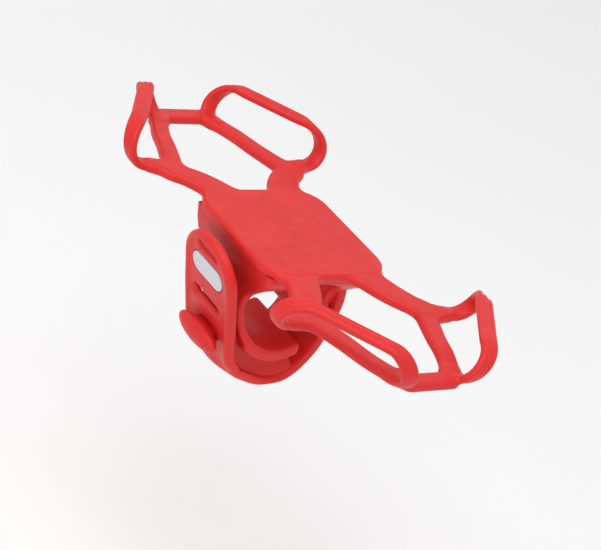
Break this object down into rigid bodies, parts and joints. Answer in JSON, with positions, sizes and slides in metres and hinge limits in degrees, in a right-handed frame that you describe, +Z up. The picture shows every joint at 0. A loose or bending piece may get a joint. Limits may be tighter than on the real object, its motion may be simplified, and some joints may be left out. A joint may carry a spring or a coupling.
{
  "type": "phone mount",
  "caption": "Stretchy silicone handlebar-stem phone mount: a square pad with corner loops that grip a phone, on a saddle with a strap that hooks round a bicycle stem.",
  "frame": {"origin": "on the axis of the stem that the saddle hugs, under the middle of the pad", "axes": "+X to the rider's right across the phone, +Y forward along the stem and the phone's long side, +Z up out of the phone's screen"},
  "size_m": [0.0774, 0.15, 0.0601],
  "materials": {
    "silicone": "satin",
    "reflective_foil": "fine retroreflective texture"
  },
  "bodies": {
    "root": {"phone_pad": "silicone", "saddle_crown": "silicone", "left_leg": "silicone", "right_leg": "silicone", "strap_root": "silicone", "hook_heel": "silicone", "hook_post": "silicone", "hook_head": "silicone"},
    "belt": {"strap_belt": "silicone"},
    "side": {"strap_side": "silicone", "pull_tab": "silicone", "reflector": "reflective_foil"},
    "upper_web": {"upper_left_arm": "silicone", "upper_left_branch": "silicone", "upper_right_arm": "silicone", "upper_right_branch": "silicone", "upper_link": "silicone"},
    "lower_web": {"lower_left_arm": "silicone", "lower_left_branch": "silicone", "lower_right_arm": "silicone", "lower_right_branch": "silicone", "lower_link": "silicone"},
    "upper_left_loop": {"upper_left_side_wrap": "silicone", "upper_left_front_strap": "silicone", "upper_left_end_wrap": "silicone"},
    "upper_right_loop": {"upper_right_side_wrap": "silicone", "upper_right_front_strap": "silicone", "upper_right_end_wrap": "silicone"},
    "lower_left_loop": {"lower_left_side_wrap": "silicone", "lower_left_front_strap": "silicone", "lower_left_end_wrap": "silicone"},
    "lower_right_loop": {"lower_right_side_wrap": "silicone", "lower_right_front_strap": "silicone", "lower_right_end_wrap": "silicone"}
  },
  "joints": [
    {"name": "upper_arms_flex", "type": "hinge", "parent": "root", "child": "upper_web", "pos_m": [0, 0.0233, 0.01705], "axis": [-1, 0, 0], "range_deg": [0, 30], "stiffness_Nm_per_rad": 0.4},
    {"name": "lower_arms_flex", "type": "hinge", "parent": "root", "child": "lower_web", "pos_m": [0, -0.0233, 0.01705], "axis": [1, 0, 0], "range_deg": [0, 30], "stiffness_Nm_per_rad": 0.4},
    {"name": "upper_left_loop_peel", "type": "hinge", "parent": "upper_web", "child": "upper_left_loop", "pos_m": [-0.02545, 0.05518, 0.02013], "axis": [-0.6124, -0.7905, 0], "range_deg": [0, 100], "stiffness_Nm_per_rad": 0.02},
    {"name": "upper_right_loop_peel", "type": "hinge", "parent": "upper_web", "child": "upper_right_loop", "pos_m": [0.02545, 0.05518, 0.02013], "axis": [-0.6124, 0.7905, 0], "range_deg": [0, 100], "stiffness_Nm_per_rad": 0.02},
    {"name": "lower_left_loop_peel", "type": "hinge", "parent": "lower_web", "child": "lower_left_loop", "pos_m": [-0.02545, -0.06078, 0.02013], "axis": [0.6124, -0.7905, 0], "range_deg": [0, 100], "stiffness_Nm_per_rad": 0.02},
    {"name": "lower_right_loop_peel", "type": "hinge", "parent": "lower_web", "child": "lower_right_loop", "pos_m": [0.02545, -0.06078, 0.02013], "axis": [0.6124, 0.7905, 0], "range_deg": [0, 100], "stiffness_Nm_per_rad": 0.02},
    {"name": "strap_unhook", "type": "hinge", "parent": "belt", "child": "side", "pos_m": [-0.01555, 0, -0.02311], "axis": [0, -1, 0], "range_deg": [0, 110], "stiffness_Nm_per_rad": 0.05, "deforming": ["strap_side"]},
    {"name": "belt_swing", "type": "hinge", "parent": "root", "child": "belt", "pos_m": [0.02011, 0, -0.00732], "axis": [0, -1, 0], "range_deg": [0, 66], "stiffness_Nm_per_rad": 0.05}
  ],
  "couplings": [
    {"joint": "belt_swing", "follows": "strap_unhook", "ratio": 0.6}
  ]
}
